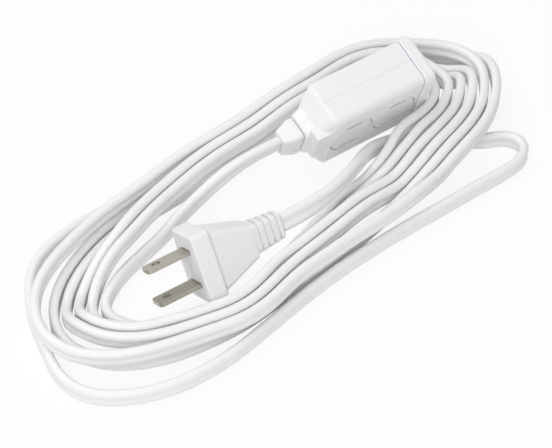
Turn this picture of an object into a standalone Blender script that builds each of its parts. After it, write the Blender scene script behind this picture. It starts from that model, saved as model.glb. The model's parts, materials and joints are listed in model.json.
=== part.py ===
"""Flat two-wire household extension cord: a moulded plug, about three metres of flat cord laid
in a long loose coil, and a tap with three outlets that turning safety covers close.

Sizes are in millimetres and become metres when a mesh is made. +Z is up. The origin is on the
surface that the cord lies on, under the middle of the tap. +X runs along the tap, away from the
cord, and the tap's face with two outlets looks towards -Y.
"""

import math

import bmesh
import bpy
import numpy as np
from mathutils import Matrix, Vector
from mathutils.bvhtree import BVHTree

MM = 0.001
GAP = 0.3  # between two pieces that touch

# Flat cord, laid on edge: its width stands up
CORD_WIDTH = 7.2
CORD_THICKNESS = 3.6
CORD_GROOVE = 0.55  # depth of the tear groove along each flat side
CORD_EDGE_FLAT = 2.0  # width of the flat that a rounded edge keeps
CORD_SHOULDER = 2.2  # from the middle of the cord to where its rounded edge starts
WIRE_RADIUS = 1.2  # one stripped-out leg of the cord
LEG_SPACING = 3.6  # between the two conductors in the cord

# Blades and outlets of the two-pin polarised kind
BLADE_SPACING = 12.7
BLADE_THICKNESS = 1.5
LINE_BLADE_WIDTH = 6.35
NEUTRAL_BLADE_WIDTH = 7.94
BLADE_LENGTH = 16.5
BLADE_CORNER = 1.6
BLADE_HOLE_RADIUS = 1.6
BLADE_HOLE_FROM_FACE = 11.9
CRIMP_INNER_RADIUS = WIRE_RADIUS + GAP
CRIMP_WALL = 0.4
CRIMP_LENGTH = 4.2

# Plug, along its own X from the cord's end to the face at 0
PLUG_FACE_POINT = (-43.3, -11.5, 16.8)
PLUG_TURN = 179.0  # degrees from +X to where the blades point
PLUG_ROLL = 32.0  # degrees that the plug leans over
FLANGE_HEIGHT = 26.6
FLANGE_WIDTH = 17.0
FLANGE_DEPTH = 7.2
GRIP_LENGTH = 16.4
GRIP_FRONT = (14.2, 23.4)  # width and height of the grip behind the flange
GRIP_REAR = (10.8, 13.0)
RELIEF_LENGTH = 13.0
RELIEF_FRONT = (8.8, 11.6)
RELIEF_REAR = (6.6, 10.0)
RELIEF_GROOVES = 4
RELIEF_GROOVE_DEPTH = 0.9
RELIEF_GROOVE_WIDTH = 0.8  # of its opening
RELIEF_GROOVE_DRAFT = 0.15  # how much each side of a groove slopes in
PLUG_EDGE = 0.7
PLUG_CORNER = 1.6
PLUG_SKIN = 1.2  # of soft plastic over the bridge, at the face
BRIDGE_DEPTH = 6.6
BRIDGE_WIDTH = 10.4
BRIDGE_HEIGHT = 18.4
BLADE_TAIL = 0.9  # of a blade behind its bridge
PLUG_CRIMP_SPACING = 10.8
PLUG_CORD_END = 24.9  # from the face to where the cord's jacket ends

# Tap, along its own X, its axis on Z 0
TAP_LEAN = 16.5  # degrees that the tap leans towards its two outlets
TAP_LENGTH = 61.4
TAP_HEIGHT = 32.0
TAP_THICKNESS = 19.5
TAP_EDGE = 2.4
CAP_LIP = 0.8  # that the end cap stands proud of the shells
LUG_LENGTH = 6.6  # the raised block on the front beside the neck
LUG_INSET = 0.15
LUG_BOTTOM = -4.0
LUG_TOP = 9.6
CAP_EDGE = 1.2
CAP_SPIGOT_LENGTH = 3.0
SHELL_WALL = 2.2
COLLAR_REAR = (6.8, 10.0)  # width and height where the cord comes out
COLLAR_FRONT = (9.4, 12.8)
COLLAR_NECK = (6.8, 10.4)
COLLAR_NECK_LENGTH = 2.2
COLLAR_FLANGE = (8.6, 12.2)
COLLAR_FLANGE_LENGTH = 1.4
COLLAR_PIT_RADIUS = 0.75  # the small pit in the collar's front side
COLLAR_PIT_DEPTH = 1.2
COLLAR_PIT_BACK = 3.3  # from the shells
COLLAR_PIT_DROP = 2.1  # below the cord's middle
NECK_REAR = (11.0, 14.4)
COVER_RADIUS = BLADE_SPACING / 2 + 2.65
COVER_SPACING = 1.3  # between the two covers of the front face
COVER_TO_CAP = 1.55
COVER_TO_NECK = 1.35
OUTLET_PITCH = 2 * COVER_RADIUS + COVER_SPACING
ENDS_LENGTH = TAP_LENGTH - OUTLET_PITCH - 2 * COVER_RADIUS - COVER_TO_CAP - COVER_TO_NECK
COLLAR_LENGTH = ENDS_LENGTH * 0.3774  # behind the shells
CAP_LENGTH = ENDS_LENGTH * 0.2453
NECK_LENGTH = ENDS_LENGTH - COLLAR_LENGTH - CAP_LENGTH
OUTLET_MIDDLE = TAP_LENGTH / 2 - CAP_LENGTH - COVER_TO_CAP - COVER_RADIUS - OUTLET_PITCH / 2
BLOCK_REAR = NECK_LENGTH + COLLAR_LENGTH - TAP_LENGTH / 2
COVER_THICKNESS = 1.6
COVER_STEM_RADIUS = 1.8
COVER_HEAD_RADIUS = 2.8
COVER_HEAD_DEPTH = 1.0
FACE_WALL = 0.85  # left behind a cover's recess
SLOT_CLEARANCE = 0.3
LINE_SLOT_LENGTH = 7.0
NEUTRAL_SLOT_LENGTH = 8.4
STRIP_THICKNESS = 0.5
STRIP_HEIGHT = 6.8
COLLAR_FRONT_END = COLLAR_LENGTH - TAP_LENGTH / 2 + COLLAR_NECK_LENGTH + COLLAR_FLANGE_LENGTH
TAP_CORD_END = COLLAR_FRONT_END + 0.5  # where the cord's jacket ends inside the tap
CRIMP_START = BLOCK_REAR + 1.8  # the barrels of the tap's contacts
CRIMP_END = CRIMP_START + CRIMP_LENGTH
CONTACT_ROOM = 5.4  # height of the room round each pole's contacts
CONTACT_SPREAD = 1.9  # from a blade's middle plane to the strip beside it
CONTACT_PINCH = 0.75
CONTACT_HALF_LENGTH = 4.6

# Coil: lengths from its middle, one value for each turn from the plug's end to the tap's
COIL_MIDDLE = (-44.3, -18.8)
TURNS = 7
RUN_HALF_LENGTH = 36.0
RUN_SHARE = 0.30  # of a quarter turn that is run, the rest being bend
NEAR_OFFSETS = (33.0, 30.5, 28.9, 23.6, 19.2, 14.6, 10.2)
LEFT_REACHES = (99.5, 99.0, 92.4, 88.1, 83.4, 78.9, 74.4)
FAR_OFFSETS = (37.5, 37.7, 33.0, 28.5, 24.0, 19.5, 15.0)
RIGHT_REACHES = (107.4, 102.9, 98.2, 93.5, 88.7, 82.7, 79.8)
NEAR_SLOPE = 0.125  # the near runs are less parallel to the tap than the far ones
FAR_SLOPE = 0.085
FAR_BOW = 2.0
COIL_BEND = 0.0006  # curvature of the whole coil's middle line, per mm
LIFT = 8.0  # of a strand that crosses over another
# Where strands shift or lift, in quarter turns from the middle of the near run
RIGHT_CORNER = (-1.0, -0.82, -0.45, 0.0)
NEAR_CORNER = (-0.15, 0.45, 0.62, 1.0)
TUCKED = (-0.3, 0.28, 0.62, 1.0)
FAR_CORNER = (1.15, 1.5, 1.62, 1.92)
STACKED = (1.45, 2.0, 2.65, 3.02)
BEHIND_TAP = (2.05, 2.5, 2.62, 2.95)
OVER_LEAD_CORNER = (-1.0, -0.8, -0.66, -0.4)
STACK_SHIFT = 9.4  # of the strands that cross outwards to lie on top behind the tap
TUCK_SHIFT = 9.0  # of the strands that cross outwards beneath the others at the left bend
TURN_SHIFTS = {
    1: [(BEHIND_TAP, 2.4)],
    2: [(NEAR_CORNER, -0.7), (FAR_CORNER, -3.4), (BEHIND_TAP, 3.0)],
    3: [(RIGHT_CORNER, -3.5), (OVER_LEAD_CORNER, -0.8), (BEHIND_TAP, 2.8)],
    4: [(RIGHT_CORNER, -2.9), (OVER_LEAD_CORNER, -1.5), (TUCKED, 2.0), (BEHIND_TAP, 3.2)],
    5: [(RIGHT_CORNER, -3.0), (OVER_LEAD_CORNER, -2.2), (TUCKED, 3.0)],
    6: [(RIGHT_CORNER, -2.9), (OVER_LEAD_CORNER, -3.1), (TUCKED, TUCK_SHIFT)],
    7: [(RIGHT_CORNER, -2.9), (OVER_LEAD_CORNER, -4.0), (TUCKED, TUCK_SHIFT)],
}
for stacked_turn in (5, 6):
    TURN_SHIFTS[stacked_turn] += [(STACKED, STACK_SHIFT), (BEHIND_TAP, 3.5)]
LIFT_OVER_LEAD = (2.85, 3.12, 3.42, 3.85)
TURN_LIFTS = {
    2: [(-0.75, -0.3, 3.1, 3.5)],
    4: [(-0.55, -0.15, 0.9, 1.2)],
    5: [(-0.55, -0.15, 0.9, 1.2), (1.25, 1.6, 3.1, 3.5)],
    6: [(1.15, 1.5, 3.1, 3.5)],
}
COIL_START = 1.85
COIL_END = 25.5
COIL_STEP = 20.0  # the longest facet along the coil
RING_BEND = 17.0  # the sharpest bend between two facets, in degrees
LEAST_COIL_GAP = 0.4
STRAND_PITCH = CORD_THICKNESS + 0.86  # between the middles of strands side by side
LAYER_PITCH = CORD_WIDTH + 0.55  # between the middles of strands that cross
PIECE_CLEARANCE = 0.6  # between a strand and the tap or the plug
# From the plug's axis to the side that strands pass, for a strand beneath and one on top
PLUG_FACE_REACHES = (10.5, 14.4)
PLUG_FACE_RUN = 13.0  # along the plug from its face
BLADE_REACH = 7.3  # on top
SETTLING_STEP = 2.5
SETTLING_SPREAD = 20.0  # how far along the cord a push is felt
SETTLING_ROUNDS = 250
SETTLING_RATE = 0.4
PUSHED_FROM = 16.0  # strands that start farther apart than this never meet
OWN_STRETCH = 24.0  # a strand isn't pushed by the cord this near along it

# The two ends of the cord, from the coil's middle and up from the surface
PLUG_LEAD = (
    (12.0, -11.0, 16.6),
    (22.0, -8.2, 15.7),
    (31.5, -3.8, 13.9),
    (40.5, 1.4, 11.2),
    (48.5, 4.9, 7.2),
    (56.0, 6.0, 4.3),
    (63.5, 5.0, 3.6),
    (69.0, 2.2, 3.6),
    (74.0, -2.2, 3.6),
    (79.5, -7.5, 3.6),
    (85.0, -12.3, 3.6),
    (91.0, -14.4, 3.6),
    (95.8, -18.4, 3.6),
    (95.9, -24.2, 3.6),
    (90.5, -28.2, 3.6),
    (82.0, -29.3, 3.6),
    (68.0, -29.6, 3.6),
    (52.0, -30.2, 3.6),
    (36.0, -30.6, 3.6),
    (20.0, -31.6, 3.6),
    (4.0, -33.2, 3.6),
    (-14.0, -36.3, 3.6),
    (-32.0, -40.2, 3.6),
    (-46.0, -43.0, 3.6),
    (-58.0, -43.9, 3.6),
    (-70.0, -43.2, 3.6),
    (-80.0, -40.6, 3.6),
    (-88.0, -37.0, 3.6),
    (-94.5, -32.4, 3.6),
    (-99.0, -26.5, 3.6),
    (-101.0, -19.5, 3.6),
    (-100.8, -12.5, 3.6),
    (-99.2, -4.5, 3.6),
    (-97.6, 4.0, 3.6),
    (-95.0, 12.5, 3.6),
    (-90.8, 21.0, 3.6),
    (-85.0, 28.2, 3.6),
    (-76.0, 33.2, 3.6),
    (-64.0, 35.8, 3.6),
    (-50.0, 36.8, 3.6),
)
TAP_LEAD = (
    (-34.0, 16.2, 5.9),
    (-25.0, 17.8, 9.3),
    (-14.0, 18.7, 13.8),
    (-4.0, 18.8, 17.2),
)
LEAD_STEP = 8.0
UNTWIST_LENGTH = 22.0  # in which an end of the cord turns from its plug's lean to upright

# Colours and finishes: base colour, roughness, metallic
FINISHES = {
    "white_vinyl": ((0.86, 0.87, 0.88), 0.42, 0.0),
    "cord_jacket": ((0.87, 0.88, 0.88), 0.48, 0.0),
    "white_plastic": ((0.88, 0.89, 0.90), 0.35, 0.0),
    "cover_plastic": ((0.84, 0.85, 0.86), 0.40, 0.0),
    "bridge_plastic": ((0.80, 0.80, 0.76), 0.45, 0.0),
    "blade_metal": ((0.60, 0.56, 0.45), 0.30, 1.0),
    "contact_brass": ((0.72, 0.56, 0.28), 0.35, 1.0),
    "wire_white": ((0.85, 0.85, 0.84), 0.50, 0.0),
}


# ---------------------------------------------------------------- meshes


def material(name):
    """The named finish as a Principled material, made once."""
    made = bpy.data.materials.get(name)
    if made is None:
        colour, roughness, metallic = FINISHES[name]
        made = bpy.data.materials.new(name)
        made.use_nodes = True
        shader = made.node_tree.nodes["Principled BSDF"]
        shader.inputs["Base Color"].default_value = (*colour, 1.0)
        shader.inputs["Roughness"].default_value = roughness
        shader.inputs["Metallic"].default_value = metallic
        made.diffuse_color = (*colour, 1.0)
    return made


def finish_mesh(name, bm, finish, pose, sharp=math.radians(35)):
    """Scale a millimetre mesh to metres and link it as an object in its pose."""
    bm.transform(Matrix.Scale(MM, 4))
    bmesh.ops.recalc_face_normals(bm, faces=bm.faces)
    mesh = bpy.data.meshes.new(name)
    bm.to_mesh(mesh)
    bm.free()
    mesh.shade_smooth()
    mesh.set_sharp_from_angle(angle=sharp)
    piece = bpy.data.objects.new(name, mesh)
    bpy.context.collection.objects.link(piece)
    piece.matrix_world = pose
    if finish:
        mesh.materials.append(material(finish))
    return piece


def place(position, *turns):
    """A pose in metres from a position in mm and turns of (degrees, axis)."""
    pose = Matrix.Translation(Vector(position) * MM)
    for degrees, axis in turns:
        pose = pose @ Matrix.Rotation(math.radians(degrees), 4, axis)
    return pose


def rounded_rectangle(width, height, radius, corner_points=4):
    """Points (y, z) round a rectangle with rounded corners."""
    points = []
    radius = min(radius, width / 2, height / 2)
    for side_y, side_z, start in ((1, 1, 0), (-1, 1, 90), (-1, -1, 180), (1, -1, 270)):
        for i in range(corner_points):
            angle = math.radians(start + 90 * i / (corner_points - 1))
            y = side_y * (width / 2 - radius) + radius * math.cos(angle)
            z = side_z * (height / 2 - radius) + radius * math.sin(angle)
            points.append((y, z))
    return points


def skin(bm, rings):
    """Join rings of points with quads and close both ends."""
    rows = [[bm.verts.new(point) for point in ring] for ring in rings]
    count = len(rows[0])
    for row, following in zip(rows, rows[1:]):
        for i in range(count):
            j = (i + 1) % count
            bm.faces.new((row[i], row[j], following[j], following[i]))
    bm.faces.new(rows[0])
    bm.faces.new(rows[-1])


def loft_along_x(sections, radius):
    """A closed body through rounded rectangles: sections are (x, width, height)."""
    bm = bmesh.new()
    rings = []
    for x, width, height in sections:
        outline = rounded_rectangle(width, height, radius)
        rings.append([(x, y, z) for y, z in outline])
    skin(bm, rings)
    return bm


def block(low, high):
    """A plain box between two corners."""
    bm = bmesh.new()
    size = [b - a for a, b in zip(low, high)]
    middle = [(a + b) / 2 for a, b in zip(low, high)]
    bmesh.ops.create_cube(bm, size=1.0)
    bmesh.ops.scale(bm, vec=size, verts=bm.verts)
    bmesh.ops.translate(bm, vec=middle, verts=bm.verts)
    return bm


def revolved(profile, axis, closed=False, segments=32):
    """A body turned about axis 'X' or 'Y' from (radius, along) points.

    A closed profile is joined last point to first, as in a tube; an open one gets flat ends.
    """
    bm = bmesh.new()
    rows = []
    for radius, along in profile:
        row = []
        for i in range(segments):
            angle = 2 * math.pi * i / segments
            a, b = radius * math.cos(angle), radius * math.sin(angle)
            row.append(bm.verts.new((along, a, b) if axis == "X" else (a, along, b)))
        rows.append(row)
    if closed:
        rows.append(rows[0])
    else:
        bm.faces.new(rows[0])
        bm.faces.new(rows[-1])
    for row, following in zip(rows, rows[1:]):
        for i in range(segments):
            j = (i + 1) % segments
            bm.faces.new((row[i], row[j], following[j], following[i]))
    return bm


def extruded(outline, low, high, axis):
    """A prism of a closed outline, from low to high along axis 'X', 'Y' or 'Z'."""
    bm = bmesh.new()
    orders = {
        "X": lambda a, b, t: (t, a, b),
        "Y": lambda a, b, t: (a, t, b),
        "Z": lambda a, b, t: (a, b, t),
    }
    skin(bm, [[orders[axis](a, b, t) for a, b in outline] for t in (low, high)])
    return bm


def combine(piece, tool, operation):
    """Boolean a piece with a tool object, which the finished part leaves out."""
    tool.hide_render = True
    tool.display_type = "WIRE"
    step = piece.modifiers.new(f"{operation.lower()} {tool.name}", "BOOLEAN")
    step.operation = operation
    step.object = tool
    step.solver = "EXACT"


def cut(piece, bm, label, pose):
    combine(piece, finish_mesh(f"cutter_{label}", bm, None, pose), "DIFFERENCE")


def join(piece, bm, label, pose):
    combine(piece, finish_mesh(f"joined_{label}", bm, None, pose), "UNION")


# ---------------------------------------------------------------- cord


def cord_section(clearance=0.0):
    """Points (across, up) round the flat cord, with its groove along both sides."""
    side = CORD_THICKNESS / 2 + clearance
    edge = CORD_WIDTH / 2 + clearance
    right = [
        (CORD_EDGE_FLAT / 2, edge),
        (side, CORD_SHOULDER),
        (side - CORD_GROOVE, 0.0),
        (side, -CORD_SHOULDER),
        (CORD_EDGE_FLAT / 2, -edge),
    ]
    return right + [(-across, up) for across, up in reversed(right)]


def ease(share):
    share = min(max(share, 0.0), 1.0)
    return share * share * (3 - 2 * share)


def rise_and_fall(place_on_turn, spans):
    """0 before the span, 1 in its middle and 0 after it."""
    start, full, last_full, end = spans
    rise = ease((place_on_turn - start) / (full - start))
    fall = ease((place_on_turn - last_full) / (end - last_full))
    return rise * (1 - fall)


def station_value(index):
    """The offset or reach at a whole number of quarter turns."""
    turn, kind = divmod(index, 4)
    turn = min(max(turn, 0), TURNS - 1)
    return (NEAR_OFFSETS, LEFT_REACHES, FAR_OFFSETS, RIGHT_REACHES)[kind][turn]


def between_stations(quarter, first):
    """An offset (first 0) or a reach (first 1), eased from one side of the coil to the other."""
    index = math.floor((quarter - first) / 2)
    share = ease((quarter - first) / 2 - index)
    before = station_value(2 * index + first)
    after = station_value(2 * index + 2 + first)
    return before * (1 - share) + after * share


def coil_point(quarter):
    """The cord's middle line after that many quarter turns from the first near run.

    Seen from above a turn goes along its near run to the left bend, back along the far run and
    round the right bend.
    """
    reach = between_stations(quarter, 1)
    offset = between_stations(quarter, 0)
    level = 0.0
    for turn in range(1, TURNS + 1):
        local = quarter - 4 * (turn - 1)
        if -1 <= local < 4:
            for spans, shift in TURN_SHIFTS[turn]:
                offset += shift * rise_and_fall(local, spans)
            for spans in [LIFT_OVER_LEAD, *TURN_LIFTS.get(turn, [])]:
                level = max(level, rise_and_fall(local, spans))
    index = math.floor(quarter)
    kind = index % 4
    share = quarter - index
    from_run = share if kind in (0, 2) else 1 - share
    if from_run < RUN_SHARE:
        x = RUN_HALF_LENGTH * from_run / RUN_SHARE
        across = 1.0
    else:
        bend = (from_run - RUN_SHARE) / (1 - RUN_SHARE) * math.pi / 2
        x = RUN_HALF_LENGTH + (reach - RUN_HALF_LENGTH) * math.sin(bend)
        across = math.cos(bend)
    x *= -1 if kind in (0, 1) else 1
    far = kind in (1, 2)
    across *= 1 if far else -1
    slope = (NEAR_SLOPE + FAR_SLOPE) / 2 + across * (FAR_SLOPE - NEAR_SLOPE) / 2
    bow = FAR_BOW * math.cos(math.pi / 2 * min(1.0, abs(x) / reach)) if far else 0.0
    y = across * (offset + bow) + slope * x + COIL_BEND * x * x
    return (x + COIL_MIDDLE[0], y + COIL_MIDDLE[1], CORD_WIDTH / 2 + LIFT * level)


def from_coil_middle(points):
    return [(x + COIL_MIDDLE[0], y + COIL_MIDDLE[1], z) for x, y, z in points]


def sampled(points, longest, sharpest):
    """Points along a line of points: a step has at most that length in mm and that bend in degrees."""
    points = np.array(points, dtype=float)
    steps = np.diff(points, axis=0)
    lengths = np.linalg.norm(steps, axis=1)
    heading = steps / lengths[:, None]
    bends = np.zeros(len(lengths))
    cosines = np.clip((heading[1:] * heading[:-1]).sum(axis=1), -1, 1)
    bends[1:] = np.degrees(np.arccos(cosines))
    cost = np.concatenate([[0], np.cumsum(lengths / longest + bends / sharpest)])
    places = np.linspace(0, cost[-1], math.ceil(cost[-1]) + 1)
    return np.stack([np.interp(places, cost, points[:, i]) for i in range(3)], axis=1)


def smooth_through(points, before, after, parts=12):
    """A smooth curve through the points, aimed by the points before and after them."""
    a = np.array([before, *points, after], dtype=float)
    curve = []
    for p, start, end, n in zip(a, a[1:], a[2:], a[3:]):
        for t in np.arange(parts) / parts:
            bend = (2 * p - 5 * start + 4 * end - n) * t * t + (3 * start - p - 3 * end + n) * t**3
            curve.append(start + 0.5 * ((end - p) * t + bend))
    curve.append(a[-2])
    return np.array(curve)


def beyond(route, end, distance):
    """The point a distance past an end (0 or -1) of a route."""
    inner = 1 if end == 0 else -2
    out = route[end] - route[inner]
    return route[end] + out / np.linalg.norm(out) * distance


def evenly(points, step):
    """Points spaced evenly along a line of points."""
    points = np.array(points, dtype=float)
    run = np.concatenate([[0], np.cumsum(np.linalg.norm(np.diff(points, axis=0), axis=1))])
    places = np.linspace(0, run[-1], round(run[-1] / step) + 1)
    return np.stack([np.interp(places, run, points[:, i]) for i in range(3)], axis=1)


def settled(line, still):
    """The line of points, its strands eased off each other and off the still points."""
    line = line.copy()
    count = len(line)
    numbers = np.arange(count)
    near = np.linalg.norm(line[:, None, :2] - np.vstack([line, still])[None, :, :2], axis=2) < PUSHED_FROM
    near[:, :count] &= np.abs(numbers[:, None] - numbers) * SETTLING_STEP >= OWN_STRETCH
    strand, other = np.nonzero(near)
    share = np.where(other < count, 0.5, 1.0)
    from_end = np.minimum(numbers, numbers[::-1]) * SETTLING_STEP
    free = np.clip((from_end - CORD_WIDTH) / OWN_STRETCH, 0, 1)[:, None]
    spread = np.hanning(2 * round(SETTLING_SPREAD / SETTLING_STEP) + 1)
    spread /= spread.sum()
    for _ in range(SETTLING_ROUNDS):
        away = line[strand] - np.vstack([line, still])[other]
        beside = np.maximum(np.hypot(away[:, 0], away[:, 1]), 0.01)
        sideways = STRAND_PITCH - beside
        upward = LAYER_PITCH - np.abs(away[:, 2])
        close = (sideways > 0) & (upward > 0)
        aside = np.where(close & (sideways <= upward), sideways * share, 0.0) / beside
        above = np.where(close & (sideways > upward), upward * share, 0.0)
        pushes = [aside * away[:, 0], aside * away[:, 1], above * np.sign(away[:, 2])]
        push = [np.bincount(strand, weights=weights, minlength=count) for weights in pushes]
        push = np.stack([np.convolve(values, spread, mode="same") for values in push], axis=1)
        line += SETTLING_RATE * push * free
        line[:, 2] = np.maximum(line[:, 2], CORD_WIDTH / 2)
    return line


def kept_clear():
    """Still points just inside the tap and the plug's face, on both layers of strands."""
    inset = STRAND_PITCH - CORD_THICKNESS / 2 - PIECE_CLEARANCE
    lean = math.radians(TAP_LEAN)
    half = (TAP_THICKNESS / 2 + CAP_LIP) / math.cos(lean) - inset
    rise = tap_axis_height() * math.tan(lean)
    back = half + rise - CORD_WIDTH * math.tan(lean)
    front = -half + rise - 2 * CORD_WIDTH * math.tan(lean)
    rear = tap_rear() + COLLAR_LENGTH + NECK_LENGTH
    end = TAP_LENGTH / 2 - inset
    low, high = CORD_WIDTH / 2, CORD_WIDTH / 2 + LIFT
    rows = [((rear, back), (end, back)), ((end, back), (end, front)), ((end, front), (rear, front))]
    lines = [[(*start, level), (*stop, level)] for start, stop in rows for level in (low, high)]
    face_x, face_y, _ = PLUG_FACE_POINT
    face_x += COIL_MIDDLE[0]
    face_y += COIL_MIDDLE[1] + inset
    for level, reach in zip((low, high), PLUG_FACE_REACHES):
        y = face_y - reach
        lines.append([(face_x, y, level), (face_x + PLUG_FACE_RUN, y, level)])
    y = face_y - BLADE_REACH
    lines.append([(face_x - BLADE_LENGTH, y, high), (face_x - STRAND_PITCH, y, high)])
    return np.vstack([evenly(line, SETTLING_STEP) for line in lines])


def coil_line():
    """The coil's turns as evenly spaced points."""
    return evenly([coil_point(q) for q in np.linspace(COIL_START, COIL_END, 6000)], SETTLING_STEP)


def coil_route(line):
    """The coil's turns, with both ends straight for one cord width."""
    first = beyond(line, 0, CORD_WIDTH)
    last = beyond(line, -1, CORD_WIDTH)
    return np.vstack([first, sampled(line, COIL_STEP, RING_BEND), last])


def in_part(pose, x):
    """A point on a piece's own X axis, in mm."""
    return np.array(pose @ Vector((x * MM, 0, 0))) / MM


def lead_route(start, points, end):
    """A free end of the cord: straight between each pair of end points, smooth between the pairs."""
    curve = smooth_through([start[1], *points, end[0]], start[0], end[1])
    curve[:, 2] = np.maximum(curve[:, 2], CORD_WIDTH / 2)
    return np.vstack([start[0], sampled(curve, LEAD_STEP, RING_BEND), end[1]])


def leans_along(route, lean, straight):
    """How far each ring leans, in degrees: at its start as its plug does, then easing upright."""
    run = np.concatenate([[0], np.cumsum(np.linalg.norm(np.diff(route, axis=0), axis=1))])
    return [lean * (1 - ease((distance - straight) / UNTWIST_LENGTH)) for distance in run]


def cord_rings(route, leans):
    """Rings of section points along a route, square to it."""
    route = np.array(route, dtype=float)
    heading = np.diff(route, axis=0)
    heading /= np.linalg.norm(heading, axis=1)[:, None]
    tangents = np.vstack([heading[0], heading[1:] + heading[:-1], heading[-1]])
    rings = []
    for point, tangent, lean in zip(route, tangents, leans):
        along = Vector(tangent).normalized()
        side = along.cross(Vector((0, 0, 1))).normalized()
        turn = Matrix.Rotation(math.radians(lean), 3, along)
        up = turn @ side.cross(along)
        side = turn @ side
        rings.append([Vector(point) + side * across + up * high for across, high in cord_section()])
    return rings


def least_gap(rings, stretch=6):
    """The least space from the cord's points to the faces of another stretch of it, and where."""
    count = len(rings[0])
    trees = []
    for start in range(0, len(rings) - 1, stretch):
        part = rings[start : start + stretch + 1]
        faces = []
        for row in range(len(part) - 1):
            for i in range(count):
                j = (i + 1) % count
                low, high = row * count, (row + 1) * count
                faces.append([low + i, low + j, high + j, high + i])
        trees.append((start, BVHTree.FromPolygons([point for ring in part for point in ring], faces)))
    least = []
    for index, ring in enumerate(rings):
        for start, tree in trees:
            if start - 2 <= index <= start + stretch + 2:
                continue
            for point in ring:
                found = tree.find_nearest(point, 3.0)
                if found[0] is not None:
                    into = (found[0] - point).dot(found[1])
                    inside = 0.95 * found[3] < into < CORD_THICKNESS / 2
                    least.append((-found[3] if inside else found[3], index, start, tuple(point)))
    return sorted(least)


def make_cord():
    plug = plug_pose()
    tap = tap_pose()
    line = coil_line()
    coil = coil_route(line)
    rear = plug_rear()
    plug_route = lead_route(
        (in_part(plug, -PLUG_CORD_END), in_part(plug, rear - CORD_WIDTH)),
        from_coil_middle(PLUG_LEAD),
        (beyond(coil, 0, GAP + CORD_WIDTH), beyond(coil, 0, GAP)),
    )
    tap_route = lead_route(
        (beyond(coil, -1, GAP), beyond(coil, -1, GAP + CORD_WIDTH)),
        from_coil_middle(TAP_LEAD),
        (in_part(tap, tap_rear() - CORD_WIDTH), in_part(tap, TAP_CORD_END)),
    )
    leads = [evenly(plug_route[:-2], SETTLING_STEP), evenly(tap_route[2:], SETTLING_STEP)]
    coil = coil_route(settled(line, np.vstack([*leads, kept_clear()])))
    tap_straight = TAP_CORD_END - tap_rear() + CORD_WIDTH
    leans = {
        "cord_plug_lead": leans_along(plug_route, -PLUG_ROLL, -rear - PLUG_CORD_END + CORD_WIDTH),
        "cord_coil": [0.0] * len(coil),
        "cord_tap_lead": leans_along(tap_route[::-1], TAP_LEAN, tap_straight)[::-1],
    }
    routes = {"cord_plug_lead": plug_route, "cord_coil": coil, "cord_tap_lead": tap_route}
    all_rings = []
    length = 0.0
    for name, route in routes.items():
        rings = cord_rings(route, leans[name])
        bm = bmesh.new()
        skin(bm, rings)
        finish_mesh(name, bm, "cord_jacket", Matrix.Identity(4), sharp=math.radians(50))
        all_rings += rings
        length += np.linalg.norm(np.diff(route, axis=0), axis=1).sum()
    gap = least_gap(all_rings)[0]
    print(f"cord length {length:.0f} mm, {len(all_rings)} rings, least gap to itself {gap[0]:.2f} mm")
    if gap[0] < LEAST_COIL_GAP:
        print(f"the cord is too near itself at {gap[3]}")


# ---------------------------------------------------------------- plug


def plug_pose():
    x, y, z = PLUG_FACE_POINT
    middle = (x + COIL_MIDDLE[0], y + COIL_MIDDLE[1], z)
    return place(middle, (PLUG_TURN, "Z"), (PLUG_ROLL, "X"))


def plug_rear():
    return -(FLANGE_DEPTH + GRIP_LENGTH + RELIEF_LENGTH)


def circle(radius, middle, points=24):
    turns = [2 * math.pi * i / points for i in range(points)]
    return [(middle[0] + radius * math.cos(a), middle[1] + radius * math.sin(a)) for a in turns]


def slanted(low, high, share):
    return tuple(a + (b - a) * share for a, b in zip(low, high))


def grip_size(x):
    """Width and height of the plug's grip at x."""
    return slanted(GRIP_FRONT, GRIP_REAR, (-FLANGE_DEPTH - x) / GRIP_LENGTH)


def overmould_sections():
    """The plug's outside from its face to the cord, with the grooves that let its end bend."""
    flange_rear = -FLANGE_DEPTH
    grip_rear = flange_rear - GRIP_LENGTH
    small = (FLANGE_WIDTH - 2 * PLUG_EDGE, FLANGE_HEIGHT - 2 * PLUG_EDGE)
    sections = [
        (0.0, *small),
        (-PLUG_EDGE, FLANGE_WIDTH, FLANGE_HEIGHT),
        (flange_rear + PLUG_EDGE, FLANGE_WIDTH, FLANGE_HEIGHT),
        (flange_rear, *small),
        (flange_rear - PLUG_EDGE, *grip_size(flange_rear - PLUG_EDGE)),
        (grip_rear, *GRIP_REAR),
    ]
    pitch = (RELIEF_LENGTH - 1.0) / (RELIEF_GROOVES + 0.5)
    for i in range(RELIEF_GROOVES + 1):
        start = grip_rear - 0.5 - i * pitch
        end = start - (pitch - RELIEF_GROOVE_WIDTH if i < RELIEF_GROOVES else pitch * 0.5)
        for x in (start, end):
            size = slanted(RELIEF_FRONT, RELIEF_REAR, (grip_rear - x) / RELIEF_LENGTH)
            sections.append((x, *size))
        if i < RELIEF_GROOVES:
            for x in (end - RELIEF_GROOVE_DRAFT, end - RELIEF_GROOVE_WIDTH + RELIEF_GROOVE_DRAFT):
                size = slanted(RELIEF_FRONT, RELIEF_REAR, (grip_rear - x) / RELIEF_LENGTH)
                sections.append((x, *[value - 2 * RELIEF_GROOVE_DEPTH for value in size]))
    sections.append((plug_rear(), RELIEF_REAR[0] - 1.0, RELIEF_REAR[1] - 1.0))
    return sections


def cord_bore(start, end):
    """A cutter for the cord's way along X, with room round the cord."""
    outline = cord_section(GAP)
    bm = bmesh.new()
    skin(bm, [[(x, across, up) for across, up in outline] for x in (start, end)])
    return bm


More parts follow.
